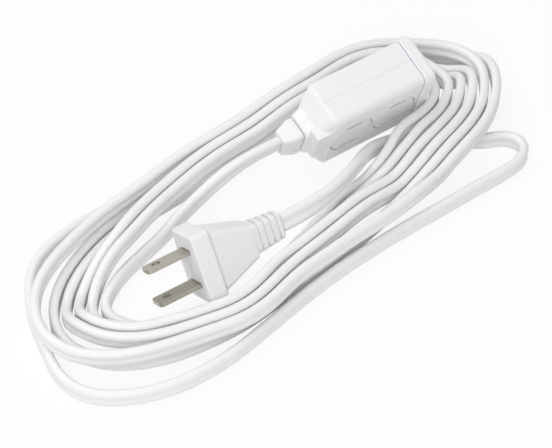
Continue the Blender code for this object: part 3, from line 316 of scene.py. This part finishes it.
def kept_clear():
    """Still points just inside the tap and the plug's face, on both layers of strands."""
    inset = STRAND_PITCH - CORD_THICKNESS / 2 - PIECE_CLEARANCE
    lean = math.radians(TAP_LEAN)
    half = (TAP_THICKNESS / 2 + CAP_LIP) / math.cos(lean) - inset
    rise = TAP_AXIS_HEIGHT * math.tan(lean)
    back = half + rise - CORD_WIDTH * math.tan(lean)
    front = -half + rise - 2 * CORD_WIDTH * math.tan(lean)
    rear = TAP_REAR + COLLAR_LENGTH + NECK_LENGTH
    end = TAP_LENGTH / 2 - inset
    low, high = CORD_WIDTH / 2, CORD_WIDTH / 2 + LIFT
    rows = [((rear, back), (end, back)), ((end, back), (end, front)), ((end, front), (rear, front))]
    lines = [[(*start, level), (*stop, level)] for start, stop in rows for level in (low, high)]
    face_x, face_y, _ = PLUG_FACE_POINT
    face_x += COIL_MIDDLE[0]
    face_y += COIL_MIDDLE[1] + inset
    for level, reach in zip((low, high), PLUG_FACE_REACHES):
        y = face_y - reach
        lines.append([(face_x, y, level), (face_x + PLUG_FACE_RUN, y, level)])
    y = face_y - BLADE_REACH
    lines.append([(face_x - BLADE_LENGTH, y, high), (face_x - STRAND_PITCH, y, high)])
    return np.vstack([evenly(line, SETTLING_STEP) for line in lines])


def coil_line():
    """The coil's turns as evenly spaced points."""
    return evenly([coil_point(q) for q in np.linspace(COIL_START, COIL_END, 6000)], SETTLING_STEP)


def in_part(pose, x):
    """A point on a piece's own X axis, in mm."""
    return np.array(pose @ Vector((x, 0, 0)))


def pose_of(place, *turns):
    """A pose at a place in mm, turned by each (degrees, axis) in order."""
    pose = Matrix.Translation(place)
    for degrees, axis in turns:
        pose = pose @ Matrix.Rotation(math.radians(degrees), 4, axis)
    return pose


def lead_curve(start, points, end):
    """A free end of the cord as a smooth curve, straight at both ends."""
    curve = smooth_through([start[1], *points, end[0]], start[0], end[1])
    curve[:, 2] = np.maximum(curve[:, 2], CORD_WIDTH / 2)
    return np.vstack([start[0], curve, end[1]])


def smoothed(points, length, step):
    """Evenly spaced points with each averaged over a length, its ends kept."""
    half = round(length / step)
    spread = np.hanning(2 * half + 3)[1:-1]
    spread /= spread.sum()
    before = 2 * points[0] - points[half:0:-1]
    after = 2 * points[-1] - points[-2 : -half - 2 : -1]
    padded = np.vstack([before, points, after])
    return np.stack([np.convolve(padded[:, i], spread, mode="valid") for i in range(3)], axis=1)


def cord_route():
    """The whole cord's middle line from the plug to the tap."""
    (face,) = from_coil_middle([PLUG_FACE_POINT])
    plug = pose_of(face, (PLUG_TURN, "Z"), (PLUG_ROLL, "X"))
    tap = pose_of((0, 0, TAP_AXIS_HEIGHT), (TAP_LEAN, "X"))
    line = coil_line()
    ends = [beyond(line, end, CORD_WIDTH) for end in (0, -1)]
    whole = np.vstack([ends[0], line, ends[1]])
    plug_lead = lead_curve(
        (in_part(plug, -PLUG_CORD_END), in_part(plug, PLUG_REAR - CORD_WIDTH)),
        from_coil_middle(PLUG_LEAD),
        (beyond(whole, 0, GAP + CORD_WIDTH), beyond(whole, 0, GAP)),
    )
    tap_lead = lead_curve(
        (beyond(whole, -1, GAP), beyond(whole, -1, GAP + CORD_WIDTH)),
        from_coil_middle(TAP_LEAD),
        (in_part(tap, TAP_REAR - CORD_WIDTH), in_part(tap, TAP_CORD_END)),
    )
    leads = [evenly(plug_lead[:-2], SETTLING_STEP), evenly(tap_lead[2:], SETTLING_STEP)]
    coil = settled(line, np.vstack([*leads, kept_clear()]))
    route = evenly(np.vstack([plug_lead[:-1], coil, tap_lead[1:]]), CORD_RING_STEP)
    return smoothed(route, CORD_SMOOTHING, CORD_RING_STEP)


def cord_leans(route):
    """How far the cord leans from upright at each point, in degrees: at each end as what holds it."""
    run = np.concatenate([[0], np.cumsum(np.linalg.norm(np.diff(route, axis=0), axis=1))])
    from_plug = run - (-PLUG_REAR - PLUG_CORD_END + CORD_WIDTH)
    from_tap = run[-1] - run - (TAP_CORD_END - TAP_REAR + CORD_WIDTH)
    plug_share = np.array([1 - ease(distance / UNTWIST_LENGTH) for distance in from_plug])
    tap_share = np.array([1 - ease(distance / UNTWIST_LENGTH) for distance in from_tap])
    return -PLUG_ROLL * plug_share + TAP_LEAN * tap_share


def cord_section():
    """Points (across, up) round the flat cord: two round conductors' jackets with a groove between."""
    lobe = CORD_WIDTH / 4
    half = CORD_THICKNESS / 2
    quarter = []
    for degrees in (90, 72, 54, 38, 24, 12, 0, -14, -28, -42, -58):
        angle = math.radians(degrees)
        across = half * math.cos(angle)
        up = lobe + lobe * math.sin(angle)
        quarter.append((max(across, half - CORD_GROOVE), up) if degrees < 0 else (across, up))
    upper = quarter + [(half - CORD_GROOVE, 0.0)]
    right = upper + [(across, -up) for across, up in reversed(quarter)]
    return right + [(-across, up) for across, up in reversed(right[1:-1])]


def tube(name, route, leans, section):
    """A tube of that section along a route in mm, capped at both ends."""
    heading = np.diff(route, axis=0)
    heading /= np.linalg.norm(heading, axis=1)[:, None]
    tangents = np.vstack([heading[0], heading[1:] + heading[:-1], heading[-1]])
    bm = bmesh.new()
    rings = []
    for point, tangent, lean in zip(route, tangents, leans):
        along = Vector(tangent).normalized()
        side = along.cross(Vector((0, 0, 1))).normalized()
        turn = Matrix.Rotation(math.radians(lean), 3, along)
        up = turn @ side.cross(along)
        side = turn @ side
        corners = [Vector(point) + side * across + up * high for across, high in section]
        rings.append([bm.verts.new(corner * MM) for corner in corners])
    count = len(section)
    for low, high in zip(rings, rings[1:]):
        for i in range(count):
            j = (i + 1) % count
            bm.faces.new((low[i], low[j], high[j], high[i]))
    bm.faces.new(rings[0][::-1])
    bm.faces.new(rings[-1])
    bmesh.ops.recalc_face_normals(bm, faces=bm.faces)
    mesh = bpy.data.meshes.new(name)
    bm.to_mesh(mesh)
    bm.free()
    mesh.shade_smooth()
    piece = bpy.data.objects.new(name, mesh)
    bpy.context.scene.collection.objects.link(piece)
    return piece


# ---------------------------------------------------------------- finishes


MOTTLE = 0.015  # how far the colour strays
MOTTLE_SCALE = 60.0
GRAIN_SCALE = 900.0
GRAIN_DEPTH = 0.0002  # in metres
SMOOTHER, ROUGHER = 0.05, 0.07  # how far the roughness strays


def finish(name, colour, roughness, metallic=0.0, bump=0.02):
    """A moulded finish: a base colour with a faint mottle and a fine grain."""
    made = bpy.data.materials.new(name)
    made.use_nodes = True
    nodes = made.node_tree.nodes
    links = made.node_tree.links
    shader = nodes["Principled BSDF"]
    shader.inputs["Metallic"].default_value = metallic
    place = nodes.new("ShaderNodeTexCoord")
    cloud = nodes.new("ShaderNodeTexNoise")
    cloud.inputs["Scale"].default_value = MOTTLE_SCALE
    cloud.inputs["Detail"].default_value = 3.0
    links.new(place.outputs["Object"], cloud.inputs["Vector"])
    tint = nodes.new("ShaderNodeValToRGB")
    for stop, factor in zip(tint.color_ramp.elements, (1 - MOTTLE, 1 + MOTTLE)):
        stop.color = (*(min(channel * factor, 1.0) for channel in colour), 1)
    links.new(cloud.outputs["Fac"], tint.inputs["Fac"])
    links.new(tint.outputs["Color"], shader.inputs["Base Color"])
    wear = nodes.new("ShaderNodeMapRange")
    wear.inputs["To Min"].default_value = roughness - SMOOTHER
    wear.inputs["To Max"].default_value = roughness + ROUGHER
    links.new(cloud.outputs["Fac"], wear.inputs["Value"])
    links.new(wear.outputs["Result"], shader.inputs["Roughness"])
    speckle = nodes.new("ShaderNodeTexNoise")
    speckle.inputs["Scale"].default_value = GRAIN_SCALE
    speckle.inputs["Detail"].default_value = 2.0
    links.new(place.outputs["Object"], speckle.inputs["Vector"])
    relief = nodes.new("ShaderNodeBump")
    relief.inputs["Strength"].default_value = bump
    relief.inputs["Distance"].default_value = GRAIN_DEPTH
    links.new(speckle.outputs["Fac"], relief.inputs["Height"])
    links.new(relief.outputs["Normal"], shader.inputs["Normal"])
    return made


FINISHES = {
    "cord_jacket": finish("cord_jacket", (0.88, 0.88, 0.885), 0.42, bump=0.10),
    "white_vinyl": finish("white_vinyl", (0.875, 0.875, 0.885), 0.45, bump=0.12),
    "white_plastic": finish("white_plastic", (0.885, 0.89, 0.90), 0.38, bump=0.04),
    "cover_plastic": finish("cover_plastic", (0.84, 0.85, 0.86), 0.40, bump=0.04),
    "bridge_plastic": finish("bridge_plastic", (0.80, 0.80, 0.76), 0.45),
    "wire_white": finish("wire_white", (0.85, 0.85, 0.84), 0.50),
    "blade_metal": finish("blade_metal", (0.44, 0.42, 0.355), 0.32, metallic=1.0, bump=0.06),
    "contact_brass": finish("contact_brass", (0.72, 0.56, 0.28), 0.35, metallic=1.0, bump=0.06),
}


def dress_nodes():
    """Give each CAD node the finish of its material slot."""
    slots = {entry["node"]: entry["material_slot"] for entry in frame["record"]["subparts"]}
    for name, node in frame["nodes"].items():
        node.data.materials.clear()
        node.data.materials.append(FINISHES[slots[name]])


# ---------------------------------------------------------------- seam of the tap

SEAM_DEPTH = 0.12  # beneath the shells' surface
SEAM_THICKNESS = 0.28
SEAM_WIDTH = 1.2
SEAM_OUTLINE = (  # along the tap, and half its height there
    (-22.6, 6.9),
    (-22.1, 7.2),
    (-19.1, 8.78),
    (-15.5, 14.06),
    (-14.7, 15.2),
    (-13.7, 16.0),
    (25.1, 16.0),
)


def make_seam():
    """A thin rim between the tap's two shells, so that their joint is a fine line."""
    pose = pose_of((0, 0, TAP_AXIS_HEIGHT), (TAP_LEAN, "X"))
    bm = bmesh.new()
    for side in (-1, 1):
        outer = [(x, side * (half - SEAM_DEPTH)) for x, half in SEAM_OUTLINE]
        inner = [(x, z - side * SEAM_WIDTH) for x, z in outer]
        loops = []
        for y in (-SEAM_THICKNESS / 2, SEAM_THICKNESS / 2):
            loop = [bm.verts.new(pose @ Vector((x, y, z)) * MM) for x, z in outer + inner[::-1]]
            loops.append(loop)
            bm.faces.new(loop if y > 0 else loop[::-1])
        front, back = loops
        for i in range(len(front)):
            j = (i + 1) % len(front)
            bm.faces.new((front[i], front[j], back[j], back[i]))
    bmesh.ops.triangulate(bm, faces=[face for face in bm.faces if len(face.verts) > 4])
    bmesh.ops.recalc_face_normals(bm, faces=bm.faces)
    mesh = bpy.data.meshes.new("tap_seam")
    bm.to_mesh(mesh)
    bm.free()
    seam = bpy.data.objects.new("tap_seam", mesh)
    bpy.context.scene.collection.objects.link(seam)
    seam.data.materials.append(FINISHES["white_plastic"])
    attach(seam, "cord_set")


# ---------------------------------------------------------------- stage

CAMERA_DISTANCE = 750.0
CAMERA_TURN = 34.0  # degrees from +Y towards +X that it looks
CAMERA_TILT = 50.0  # degrees that it looks down
FOCAL_PIXELS = 2055.0
PICTURE_WIDTH = 552.0
SENSOR_WIDTH = 36.0
FAR_CLIP = 10.0  # in metres
FLOOR_HALF = 2000.0
FLOOR_DROP = 0.2  # below what lies on it
FLOOR_COLOUR = (0.90, 0.90, 0.90, 1)
FLOOR_GLOW_SHARE = 0.88  # of the floor's seen colour that is plain white
WORLD_COLOUR = (0.98, 0.975, 1.0, 1)
WORLD_STRENGTH = 0.44
KEY_LIGHT = ((-250.0, 450.0, 900.0), 800.0, 4.35)  # place and side in mm, and power in watts
FILL_LIGHT = ((-420.0, -520.0, 620.0), 700.0, 3.3)


def make_camera():
    """A camera at the photograph's viewing angle, aimed at the middle of the coil."""
    turn, tilt = math.radians(CAMERA_TURN), math.radians(CAMERA_TILT)
    level = math.cos(tilt)
    forward = Vector((math.sin(turn) * level, math.cos(turn) * level, -math.sin(tilt)))
    right = Vector((math.cos(turn), -math.sin(turn), 0))
    up = right.cross(forward)
    lens = bpy.data.cameras.new("camera")
    lens.sensor_fit = "HORIZONTAL"
    lens.sensor_width = SENSOR_WIDTH
    lens.lens = SENSOR_WIDTH * FOCAL_PIXELS / PICTURE_WIDTH
    lens.clip_end = FAR_CLIP
    camera = bpy.data.objects.new("camera", lens)
    pose = Matrix((right, up, -forward)).transposed().to_4x4()
    pose.translation = (Vector((*COIL_MIDDLE, 0)) - forward * CAMERA_DISTANCE) * MM
    camera.matrix_world = pose
    bpy.context.scene.collection.objects.link(camera)
    bpy.context.scene.camera = camera


def seen_directly(nodes, links):
    """A node that gives 1 for camera, glossy and transmitted rays and 0 for all others."""
    path = nodes.new("ShaderNodeLightPath")
    seen = nodes.new("ShaderNodeMath")
    seen.operation = "MAXIMUM"
    links.new(path.outputs["Is Camera Ray"], seen.inputs[0])
    links.new(path.outputs["Is Glossy Ray"], seen.inputs[1])
    also_through = nodes.new("ShaderNodeMath")
    also_through.operation = "MAXIMUM"
    links.new(seen.outputs[0], also_through.inputs[0])
    links.new(path.outputs["Is Transmission Ray"], also_through.inputs[1])
    return also_through


def make_floor():
    """A plain floor that shows as near white and keeps the object's shadow."""
    mesh = bpy.data.meshes.new("floor")
    corners = [(-1, -1), (1, -1), (1, 1), (-1, 1)]
    half = FLOOR_HALF * MM
    mesh.from_pydata([(x * half, y * half, 0) for x, y in corners], [], [(0, 1, 2, 3)])
    floor = bpy.data.objects.new("floor", mesh)
    floor.location.z = -FLOOR_DROP * MM
    bpy.context.scene.collection.objects.link(floor)
    made = bpy.data.materials.new("floor_white")
    made.use_nodes = True
    nodes, links = made.node_tree.nodes, made.node_tree.links
    shader = nodes["Principled BSDF"]
    shader.inputs["Base Color"].default_value = FLOOR_COLOUR
    shader.inputs["Roughness"].default_value = 0.9
    shader.inputs["Specular IOR Level"].default_value = 0.1
    glow = nodes.new("ShaderNodeEmission")
    glow.inputs["Strength"].default_value = 1.0
    mix = nodes.new("ShaderNodeMixShader")
    share = nodes.new("ShaderNodeMath")
    share.operation = "MULTIPLY"
    share.inputs[1].default_value = FLOOR_GLOW_SHARE
    links.new(seen_directly(nodes, links).outputs[0], share.inputs[0])
    links.new(share.outputs[0], mix.inputs[0])
    links.new(shader.outputs[0], mix.inputs[1])
    links.new(glow.outputs[0], mix.inputs[2])
    links.new(mix.outputs[0], nodes["Material Output"].inputs["Surface"])
    mesh.materials.append(made)


def make_world():
    """Soft even light, with a white background where it is seen directly."""
    world = bpy.data.worlds.new("studio")
    world.use_nodes = True
    bpy.context.scene.world = world
    nodes, links = world.node_tree.nodes, world.node_tree.links
    sky = nodes["Background"]
    sky.inputs["Color"].default_value = WORLD_COLOUR
    sky.inputs["Strength"].default_value = WORLD_STRENGTH
    white = nodes.new("ShaderNodeBackground")
    white.inputs["Color"].default_value = (1, 1, 1, 1)
    mix = nodes.new("ShaderNodeMixShader")
    links.new(seen_directly(nodes, links).outputs[0], mix.inputs[0])
    links.new(sky.outputs[0], mix.inputs[1])
    links.new(white.outputs[0], mix.inputs[2])
    links.new(mix.outputs[0], nodes["World Output"].inputs["Surface"])


def lamp(name, place, size, power):
    """A square soft lamp that looks at the middle of the coil."""
    light = bpy.data.lights.new(name, "AREA")
    light.size = size * MM
    light.energy = power
    piece = bpy.data.objects.new(name, light)
    piece.location = Vector(place) * MM
    aim = Vector((*COIL_MIDDLE, 0)) * MM - piece.location
    piece.rotation_euler = aim.to_track_quat("-Z", "Y").to_euler()
    bpy.context.scene.collection.objects.link(piece)


# ---------------------------------------------------------------- everything together


def make_cord():
    """The whole cord as one smooth tube, in place of its three plain solids."""
    route = cord_route()
    cord = tube("cord", route, cord_leans(route), cord_section())
    cord.data.materials.append(FINISHES["cord_jacket"])
    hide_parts("cord_plug_lead", "cord_coil", "cord_tap_lead")
    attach(cord, "cord_set")


def main():
    make_camera()
    make_cord()
    make_seam()
    dress_nodes()
    make_floor()
    make_world()
    lamp("key", *KEY_LIGHT)
    lamp("fill", *FILL_LIGHT)
    bpy.context.scene.view_settings.view_transform = "Standard"


main()
